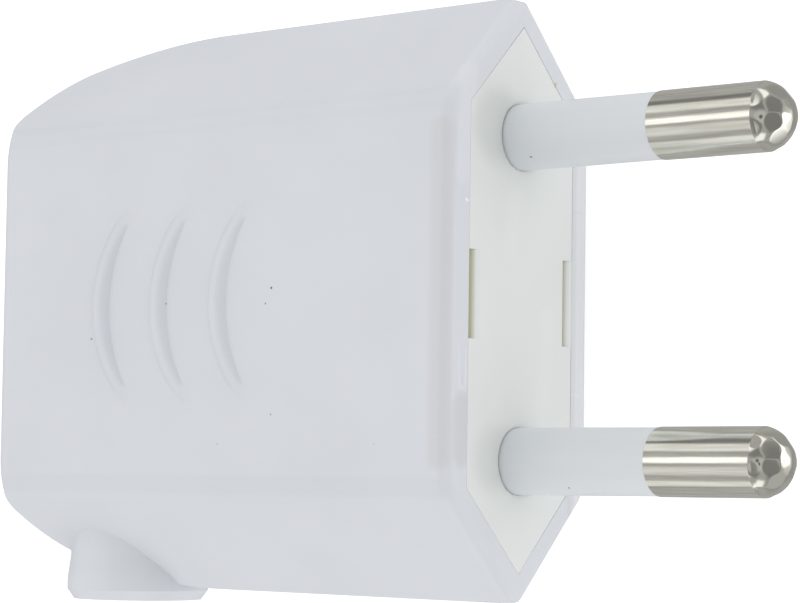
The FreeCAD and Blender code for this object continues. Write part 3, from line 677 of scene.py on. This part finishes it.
@dataclass
class PinCarrier:
    """The hexagonal carrier that closes the housing's mouth.

    Attributes:
        weld: Distance within which points are one.
        sharp: Angle in degrees above which an edge stays crisp.
        seam: How far its edge is brought towards the housing.
        lower_seam: The same on the side that lies on the table.
        pin_spacing: Pin axis to pin axis.
        sleeve_radius: Inside of the ring round a sleeve.
        ring_radius: Outside of that ring.
        ring_rear: Rear of the ring behind the face.
        groove: Width of the groove round a sleeve.
        ring_shallow: Depth of the groove beside a sleeve.
        ring_deep: Depth that the groove gains above the sleeve.
        ring_steps: Faces round the ring.
        notch_length: Length of a latch notch.
        notch_low: Wall of the notches' inner side, from the middle.
        notch_high: Wall of the notches' outer side, from the middle.
        notch_depth: Depth of the ramp in a notch.
        ramp_sole: How much deeper the ramp's block goes.
        ramp_steps: Faces along the ramp's arc.
        sunk: How far under the front face the ring's lip lies. The ramp's crest lies half as deep.
        finish: Its plastic.
    """

    weld: float = 0.002 * MM
    sharp: float = 25.0
    seam: float = 0.045 * MM
    lower_seam: float = 0.02 * MM
    pin_spacing: float = 19.2 * MM
    sleeve_radius: float = 2.0 * MM
    ring_radius: float = 2.165 * MM
    ring_rear: float = 0.68 * MM
    groove: float = 0.1 * MM
    ring_shallow: float = 0.05 * MM
    ring_deep: float = 0.35 * MM
    ring_steps: int = 96
    notch_length: float = 5.196 * MM
    notch_low: float = 4.151 * MM
    notch_high: float = 5.10 * MM
    notch_depth: float = 1.0 * MM
    ramp_sole: float = 0.1 * MM
    ramp_steps: int = 8
    sunk: float = 0.01 * MM
    finish: Plastic = CARRIER_PLASTIC

    def build(self, effects: Effects) -> bpy.types.Object:
        """Build and dress the carrier.

        Args:
            effects: Shared node groups.

        Returns:
            The finished carrier.
        """
        piece = smooth_copy("pin_carrier", self.weld, self.sharp)
        work = bmesh.new()
        work.from_mesh(piece.data)
        self.close_seam(work)
        for side in (-1.0, 1.0):
            self.add_ring(work, side * self.pin_spacing / 2)
        self.add_ramp(work, self.notch_low, self.notch_high)
        self.add_ramp(work, -self.notch_high, -self.notch_low)
        mark_creases(work, self.sharp)
        store(work, piece.data)
        adopt(piece, "pin_carrier", self.finish.material(effects))
        return piece

    def close_seam(self, work: bmesh.types.BMesh) -> None:
        """Bring the carrier's edge outwards, so that the seam to the housing is as fine as it looks.

        Args:
            work: Mesh of the carrier.
        """
        walls: dict = {}
        front = [vert for vert in work.verts if vert.co.x > -self.weld]
        for face in work.faces:
            normal = face.normal
            reach = normal.dot(face.verts[0].co)
            inner = abs(normal.x) > TILT or max(vert.co.x for vert in face.verts) < -self.weld
            if inner or any(normal.dot(vert.co) > reach + self.weld for vert in front):
                continue
            for vert in face.verts:
                known = walls.setdefault(vert, [])
                if all(normal.dot(other) < PARALLEL for other in known):
                    known.append(normal.copy())
        for vert, normals in walls.items():
            total = sum(normals, Vector())
            share = 1 + normals[0].dot(normals[1]) if len(normals) > 1 else 1.0
            vert.co += total * ((self.seam if vert.co.z > 0 else self.lower_seam) / share)

    def add_ring(self, work: bmesh.types.BMesh, across: float) -> None:
        """Fill the open ring round a sleeve, but for a shallow groove that deepens above the sleeve.

        Args:
            work: Mesh of the carrier.
            across: Place of the pin's axis along Y.
        """
        inner, outer = self.sleeve_radius, self.ring_radius
        flush = -self.sunk
        corners = ((-self.ring_rear, inner), (-self.ring_rear, outer), (flush, outer),
                   (flush, inner + self.groove), (-self.ring_shallow, inner))
        spots = [work.verts.new((x, across + radius, 0.0)) for x, radius in corners]
        lines = [work.edges.new(pair) for pair in zip(spots, spots[1:] + spots[:1])]
        known = set(work.verts) - set(spots)
        bmesh.ops.spin(work, geom=spots + lines, cent=(0, across, 0), axis=(1, 0, 0), dvec=(0, 0, 0),
                       angle=math.tau, steps=self.ring_steps, use_merge=True, use_duplicate=False)
        made = [vert for vert in work.verts if vert not in known]
        faces = {face for vert in made for face in vert.link_faces}
        bmesh.ops.recalc_face_normals(work, faces=list(faces))
        for vert in made:
            if flush > vert.co.x + self.weld and vert.co.x > -self.ring_rear / 2:
                rise = max(0.0, vert.co.z) / math.hypot(vert.co.y - across, vert.co.z)
                vert.co.x -= self.ring_deep * rise ** 3

    def add_ramp(self, work: bmesh.types.BMesh, low: float, high: float) -> None:
        """Lay a rounded ramp in a latch notch, which runs down from its lower to its upper wall.

        Args:
            work: Mesh of the carrier.
            low: Height of the lower wall along Z.
            high: Height of the upper wall along Z.
        """
        rear = -self.notch_depth - self.ramp_sole
        section = [(rear, high), (rear, low)]
        for step in range(self.ramp_steps + 1):
            angle = math.pi / 2 * step / self.ramp_steps
            section.append((-self.sunk / 2 - self.notch_depth * (1 - math.cos(angle)),
                            low + (high - low) * math.sin(angle)))
        known = set(work.verts)
        spots = [work.verts.new((x, -self.notch_length / 2, z)) for x, z in section]
        end = work.faces.new(spots)
        grown = bmesh.ops.extrude_face_region(work, geom=[end], use_keep_orig=True)
        moved = [part for part in grown["geom"] if isinstance(part, bmesh.types.BMVert)]
        bmesh.ops.translate(work, verts=moved, vec=(0, self.notch_length, 0))
        faces = {face for vert in work.verts if vert not in known for face in vert.link_faces}
        bmesh.ops.recalc_face_normals(work, faces=list(faces))


@dataclass
class Pin:
    """A nickel-plated pin with a hammered dome, and its insulating sleeve.

    Attributes:
        side: Which of the two pins it is.
        turn: Angle in degrees of the first facets, from +Y towards +Z.
        weld: Distance within which points are one.
        sharp: Angle in degrees above which an edge stays crisp.
        steps: Faces round the pin.
        rings: Rings of faces along the dome.
        dome_length: Length of the dome along the pin.
        crease: Angle in degrees by which the dome breaks from the pin's wall.
        facets: Hammered flats round the dome, in each ring.
        slopes: Angle in degrees of a flat's normal from the pin's axis, in each ring.
        depths: How far a flat cuts in, in each ring.
        flatness: How flat a hammered flat is, from 0 to 1.
        wander: How far a flat strays: degrees round the pin, degrees of its slope, and share of its depth.
        inside: How far inside the sleeve the old front is cut off.
        root: How far inside the sleeve the new front starts.
        core: Radius of that start as a share of the pin's.
        chamfer: Width of the bevel where the bare front comes out.
        edge_round: Length of the rounding before the dome.
        edge_drop: How much narrower the dome's base is than the pin.
        spared: Length of the dome's base that no flat reaches.
    """

    side: Side
    turn: float
    weld: float = 0.002 * MM
    sharp: float = 30.0
    steps: int = 144
    rings: int = 26
    dome_length: float = 1.6 * MM
    crease: float = 15.0
    facets: int = 8
    slopes: tuple[float, ...] = (73.0, 43.0, 17.0)
    depths: tuple[float, ...] = (0.05 * MM, 0.08 * MM, 0.03 * MM)
    flatness: float = 0.85
    wander: tuple[float, float, float] = (3.0, 2.0, 0.2)
    inside: float = 0.02 * MM
    root: float = 0.06 * MM
    core: float = 0.7
    chamfer: float = 0.03 * MM
    edge_round: float = 0.04 * MM
    edge_drop: float = 0.01 * MM
    spared: float = 0.02 * MM

    def build(self, metal: bpy.types.Material, plastic: bpy.types.Material) -> None:
        """Build and dress the pin and its sleeve.

        Args:
            metal: Material of the pin.
            plastic: Material of the sleeve.
        """
        name = "pin_" + self.side.value
        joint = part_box("sleeve_" + self.side.value)[1].x
        low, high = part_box(name)
        pin = smooth_copy(name, self.weld, self.sharp)
        work = bmesh.new()
        work.from_mesh(pin.data)
        every = work.verts[:] + work.edges[:] + work.faces[:]
        bmesh.ops.bisect_plane(work, geom=every, dist=self.weld / 10, plane_co=(joint - self.inside, 0, 0),
                               plane_no=(1, 0, 0), clear_outer=True)
        bmesh.ops.holes_fill(work, edges=[edge for edge in work.edges if edge.is_boundary], sides=0)
        self.add_front(work, joint, high.x, (low.y + high.y) / 2)
        bmesh.ops.recalc_face_normals(work, faces=work.faces)
        mark_creases(work, self.sharp)
        store(work, pin.data)
        adopt(pin, name, metal)
        name = "sleeve_" + self.side.value
        sleeve = smooth_copy(name, self.weld, self.sharp)
        adopt(sleeve, name, plastic)

    def add_front(self, work: bmesh.types.BMesh, joint: float, tip: float, across: float) -> None:
        """Spin the bare front of the pin with its hammered dome into a mesh.

        Args:
            work: Mesh of the rest of the pin.
            joint: Where the sleeve ends.
            tip: Foremost point of the pin.
            across: Place of the pin's axis along Y.
        """
        radius, base_radius = PIN_RADIUS, PIN_RADIUS - self.edge_drop
        start = joint - self.root
        edge = tip - self.dome_length
        profile = [(start, 0.0), (start, radius * self.core), (joint, radius - self.chamfer),
                   (joint + self.chamfer, radius), (edge - self.edge_round, radius), (edge, base_radius)]
        first = math.radians(self.crease)
        for step in range(1, self.rings + 1):
            angle = first + (math.pi / 2 - first) * step / self.rings
            lift = (math.sin(angle) - math.sin(first)) / (1 - math.sin(first))
            drop = math.cos(angle) / math.cos(first)
            profile.append((edge + self.dome_length * lift, base_radius * drop))
        profile[-1] = (tip, 0.0)
        spots = [work.verts.new((x, across + y, 0.0)) for x, y in profile]
        lines = [work.edges.new(pair) for pair in zip(spots, spots[1:])]
        bmesh.ops.spin(work, geom=spots + lines, cent=(0, across, 0), axis=(1, 0, 0), dvec=(0, 0, 0),
                       angle=math.tau, steps=self.steps, use_merge=True, use_duplicate=False)
        front = [vert for vert in work.verts if vert.co.x > start - self.weld]
        bmesh.ops.remove_doubles(work, verts=front, dist=self.weld / 20)
        base = Vector((edge, across, 0.0))
        dome = [vert for vert in work.verts if vert.co.x > edge + self.spared]
        for slope, depth in zip(self.slopes, self.depths):
            for number in range(self.facets):
                self.hammer(dome, base, number, slope, depth)

    def hammer(self, dome: list[bmesh.types.BMVert], base: Vector, number: int, slope: float,
               depth: float) -> None:
        """Press the dome nearly flat on one facet.

        Args:
            dome: Points of the dome.
            base: Centre of the dome's base.
            number: Number of the facet, which also varies its place and depth a little.
            slope: Angle in degrees of the facet's normal from the pin's axis.
            depth: How far the facet cuts in.
        """
        vary = math.sin(5 * number + slope + self.turn)
        round_pin = math.radians(self.turn + 360 * number / self.facets + self.wander[0] * vary)
        lean = math.radians(slope + self.wander[1] * vary)
        normal = Vector((math.cos(lean), math.sin(lean) * math.cos(round_pin),
                         math.sin(lean) * math.sin(round_pin)))
        reach = max((vert.co - base).dot(normal) for vert in dome)
        limit = reach - depth * (1 + self.wander[2] * vary)
        for vert in dome:
            over = (vert.co - base).dot(normal) - limit
            if over > 0:
                vert.co -= normal * over * self.flatness


@dataclass
class Hardware:
    """Screws and clamp bar inside the housing, whose CAD shapes stay."""

    screws: tuple[str, ...] = ("terminal_screw_right", "terminal_screw_left", "clamp_screw_right",
                               "clamp_screw_left")
    bar: str = "cord_clamp_bar"

    def dress(self, steel: bpy.types.Material, plastic: bpy.types.Material) -> None:
        """Give the CAD nodes their materials.

        Args:
            steel: Material of the screws.
            plastic: Material of the clamp bar.
        """
        for names, material in ((self.screws, steel), ((self.bar,), plastic)):
            for name in names:
                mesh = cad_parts[name].data
                mesh.materials.clear()
                mesh.materials.append(material)
                LOG.info("%s: dressed", name)


@dataclass(frozen=True)
class Panel:
    """A long soft box or dark card over the plug, in line with the pins, that bright metal shows.

    Attributes:
        turn: Degrees from straight up towards +Y.
        half_width: Degrees from its middle to its edge.
        level: How bright it is.
    """

    turn: float
    half_width: float
    level: float


@dataclass
class Studio:
    """Camera, lamps, world and floor.

    Attributes:
        eye: Place of the camera in millimetres.
        turn: Turn of the camera in degrees.
        lens: Focal length in millimetres.
        opening: Direction of the tent's opening, where the camera stands.
        tent_level: Light of the tent round the plug.
        tent_opening: How much darker the tent is where the photographer stands, from 0 to 1.
        between_panels: Level of its rear between the panels, as bright metal shows it.
        opening_level: The same of the opening.
        opening_streak: The same where cloth hangs across the opening.
        opening_middle: The same round the dark lens.
        lens_level: Level of the lens.
        lobes: White patches round the opening.
        lobe_turn: Turn of those patches in radians of their wave.
        patches: Level between those patches, and in them.
        panels: Soft boxes and cards behind the plug.
        lamp_distance: Distance of the two side lamps.
        lamp_height: Their height as a share of that distance.
        lamp_size: Width of a side lamp.
        lamp_power: Power of a side lamp in watts.
        table_glow: Light that comes up through the table.
        table_seen: The same as the camera sees it.
        table_in_metal: Level of the table as bright metal shows it.
        front_in_metal: The same far in front of the pins.
        card_in_metal: The same of a white card in front of the pins.
        card_edge: Level beside the card as a share of that.
        card_middle: Middle of the card along X.
        card_depth: Half its size along X.
        card_width: Half its size along Y.
        floor_size: Width of the floor.
        floor_gap: Gap under the plug.
    """

    eye: tuple[float, float, float] = (97.88, -11.92, 132.50)
    turn: tuple[float, float, float] = (4.700, 38.888, 1.029)
    lens: float = 125.6
    opening: tuple[float, float, float] = (0.5115, -0.1376, 0.848)
    tent_level: float = 1.02
    tent_opening: float = 0.22
    between_panels: float = 0.45
    opening_level: float = 0.22
    opening_streak: float = 0.42
    opening_middle: float = 0.55
    lens_level: float = 0.03
    lobes: int = 8
    lobe_turn: float = 0.6
    patches: tuple[float, float] = (0.42, 1.15)
    panels: tuple[Panel, ...] = (Panel(5, 9, 1.4), Panel(45, 14, 0.88), Panel(-30, 14, 0.76),
                                 Panel(-78, 12, 0.86), Panel(71, 8, 0.20), Panel(30, 4, 0.42),
                                 Panel(-95, 8, 0.34))
    lamp_distance: float = 0.45
    lamp_height: float = 0.75
    lamp_size: float = 0.34
    lamp_power: float = 0.12
    table_glow: float = 0.44
    table_seen: float = 0.45
    table_in_metal: float = 0.44
    front_in_metal: float = 0.27
    card_in_metal: float = 1.6
    card_edge: float = 0.3
    card_middle: float = 42 * MM
    card_depth: float = 17 * MM
    card_width: float = 12 * MM
    floor_size: float = 3.0
    floor_gap: float = 0.02 * MM

    def build(self, lowest: float) -> None:
        """Build the studio round the object.

        Args:
            lowest: Height of the object's lowest point in metres.
        """
        self.place_camera()
        self.light_world()
        self.hang_lamps()
        self.lay_floor(lowest)

    def place_camera(self) -> None:
        """Put the camera where the photograph was taken from."""
        camera = bpy.data.cameras.new("Camera")
        camera.sensor_width = 36.0
        camera.lens = self.lens
        camera.clip_start = 0.01
        camera.clip_end = 20.0
        eye = bpy.data.objects.new("Camera", camera)
        eye.location = Vector(self.eye) * MM
        eye.rotation_euler = Euler([math.radians(angle) for angle in self.turn], "XYZ")
        bpy.context.scene.collection.objects.link(eye)
        bpy.context.scene.camera = eye

    def light_world(self) -> None:
        """Light the plug evenly, show white past the floor, and give bright metal the tent's panels."""
        world = bpy.data.worlds.new("Tent")
        bpy.context.scene.world = world
        world.use_nodes = True
        graph = Graph(world.node_tree)
        ray = graph.add("ShaderNodeLightPath")
        place = graph.add("ShaderNodeTexCoord").outputs["Object"]
        near = graph.vector("DOT_PRODUCT", place, self.opening).outputs["Value"]
        shade = graph.math("MULTIPLY", graph.ramp(near, 0.45, 1.0), -self.tent_opening)
        soft = graph.math("MULTIPLY", graph.math("ADD", shade, 1.0), self.tent_level)
        shown = self.shiny_tent(graph, place, near)
        level = graph.mix(ray.outputs["Is Glossy Ray"], soft, shown)
        seen = graph.math("MAXIMUM", ray.outputs["Is Camera Ray"], ray.outputs["Is Transmission Ray"])
        level = graph.mix(seen, level, 1.0)
        light = graph.add("ShaderNodeBackground", None, Color=WHITE, Strength=level)
        graph.add("ShaderNodeOutputWorld", None, Surface=light.outputs[0])

    def shiny_tent(self, graph: Graph, place: bpy.types.NodeSocket,
                   near: bpy.types.NodeSocket) -> bpy.types.NodeSocket:
        """Build the tent as bright metal shows it: panels behind, white sides, and an opening in front.

        Args:
            graph: Nodes of the world.
            place: Socket of the direction.
            near: Socket of the cosine of the angle to the opening.

        Returns:
            The level's socket.
        """
        parts = graph.add("ShaderNodeSeparateXYZ", None, Vector=place)
        along, across, up = parts.outputs[0], parts.outputs[1], parts.outputs[2]
        turn = graph.math("DEGREES", graph.math("ARCTAN2", across, up))
        level: object = self.between_panels
        for panel in self.panels:
            level = graph.mix(graph.band(turn, panel.turn, panel.half_width), level, panel.level)
        low = graph.vector("DOT_PRODUCT", place, (0.743, -0.08, 0.664)).outputs["Value"]
        first = graph.vector("DOT_PRODUCT", place, (0.0, 1.0, 0.0)).outputs["Value"]
        second = graph.vector("DOT_PRODUCT", place, (0.666, 0.0, -0.746)).outputs["Value"]
        wave = graph.math("MULTIPLY_ADD", graph.math("ARCTAN2", first, second), float(self.lobes))
        wave.node.inputs[2].default_value = self.lobe_turn
        lobes = graph.ramp(graph.math("COSINE", wave), -0.2, 0.5)
        white = graph.mix(lobes, *self.patches)
        level = graph.mix(graph.ramp(along, -0.30, -0.05), level, white)
        gap = graph.ramp(low, 0.50, 0.62)
        cross = graph.ramp(graph.math("COSINE", graph.math("MULTIPLY", wave, 0.5)), -0.2, 0.9)
        level = graph.mix(gap, level, graph.mix(cross, self.opening_level, self.opening_streak))
        level = graph.mix(graph.ramp(near, 0.88, 0.97), level, self.opening_middle)
        return graph.mix(graph.ramp(near, 0.992, 0.997), level, self.lens_level)

    def hang_lamps(self) -> None:
        """Hang a large soft lamp on each side of the plug."""
        for name, across, along, share in (("LampLeft", -1.0, -0.2, 1.0), ("LampRight", 1.0, 0.1, 0.9)):
            lamp = bpy.data.lights.new(name, "AREA")
            lamp.shape = "RECTANGLE"
            lamp.size = self.lamp_size
            lamp.size_y = self.lamp_size
            lamp.energy = self.lamp_power * share
            stand = bpy.data.objects.new(name, lamp)
            stand.location = Vector((along, across, self.lamp_height)) * self.lamp_distance
            stand.rotation_euler = stand.location.to_track_quat("Z", "Y").to_euler()
            stand.visible_glossy = False
            bpy.context.scene.collection.objects.link(stand)

    def lay_floor(self, lowest: float) -> None:
        """Lay a white floor under the object that keeps the object's shadow.

        Args:
            lowest: Height of the object's lowest point in metres.
        """
        mesh = bpy.data.meshes.new("Floor")
        work = bmesh.new()
        bmesh.ops.create_grid(work, x_segments=1, y_segments=1, size=self.floor_size / 2)
        bmesh.ops.translate(work, verts=work.verts, vec=(0, 0, lowest - self.floor_gap))
        work.to_mesh(mesh)
        work.free()
        floor = bpy.data.objects.new("Floor", mesh)
        bpy.context.scene.collection.objects.link(floor)
        material = bpy.data.materials.new("FloorWhite")
        material.use_nodes = True
        graph = Graph(material.node_tree)
        ray = graph.add("ShaderNodeLightPath")
        seen = graph.math("MAXIMUM", ray.outputs["Is Camera Ray"], ray.outputs["Is Transmission Ray"])
        place = graph.add("ShaderNodeTexCoord").outputs["Object"]
        paper = graph.blend(graph.noise(place, 40.0), (0.86, 0.86, 0.86, 1.0), (0.88, 0.88, 0.88, 1.0))
        sheet = graph.add("ShaderNodeBsdfDiffuse", None, Color=paper)
        glow = graph.add("ShaderNodeEmission", None, Color=WHITE,
                         Strength=graph.mix(seen, self.table_glow, self.table_seen))
        both = graph.add("ShaderNodeAddShader", None, i0=sheet.outputs[0], i1=glow.outputs[0])
        parts = graph.add("ShaderNodeSeparateXYZ", None, Vector=place)
        along, across = parts.outputs[0], parts.outputs[1]
        level = graph.mix(graph.ramp(along, 10 * MM, 30 * MM), self.table_in_metal, self.front_in_metal)
        strip = graph.band(along, self.card_middle, self.card_depth)
        level = graph.mix(strip, level, self.card_in_metal * self.card_edge)
        card = graph.math("MULTIPLY", strip, graph.band(across, 0.0, self.card_width, 0.3))
        mirrored = graph.add("ShaderNodeEmission", None, Color=WHITE,
                             Strength=graph.mix(card, level, self.card_in_metal))
        shown = graph.add("ShaderNodeMixShader", None, i0=ray.outputs["Is Glossy Ray"], i1=both.outputs[0],
                          i2=mirrored.outputs[0])
        graph.add("ShaderNodeOutputMaterial", None, Surface=shown.outputs[0])
        mesh.materials.append(material)
        floor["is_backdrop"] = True


def plain_box(box: tuple) -> list[list[float]]:
    return [[float(value) for value in corner] for corner in box]


def main() -> None:
    """Build the finished plug and its studio, in order."""
    logging.basicConfig(level=logging.INFO, format="%(name)s: %(message)s")
    frame_box = plain_box(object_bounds())
    bpy.context.scene.view_settings.view_transform = "Standard"
    effects = Effects()
    bare, sleeved = NICKEL.material(effects), SLEEVE_PLASTIC.material(effects)
    Housing().build(effects)
    body = PinCarrier().build(effects)
    for side, turn in ((Side.RIGHT, 69.0), (Side.LEFT, 58.0)):
        Pin(side, turn).build(bare, sleeved)
    Hardware().dress(STEEL.material(effects), body.data.materials[0])
    Studio().build(frame_box[0][2])


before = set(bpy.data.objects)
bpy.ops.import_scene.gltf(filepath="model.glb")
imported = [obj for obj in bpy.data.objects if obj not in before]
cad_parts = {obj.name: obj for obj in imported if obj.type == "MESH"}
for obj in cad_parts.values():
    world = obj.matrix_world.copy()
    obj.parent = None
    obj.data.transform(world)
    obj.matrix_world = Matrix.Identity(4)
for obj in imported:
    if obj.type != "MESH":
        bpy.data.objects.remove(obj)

if __name__ == "__main__":
    main()
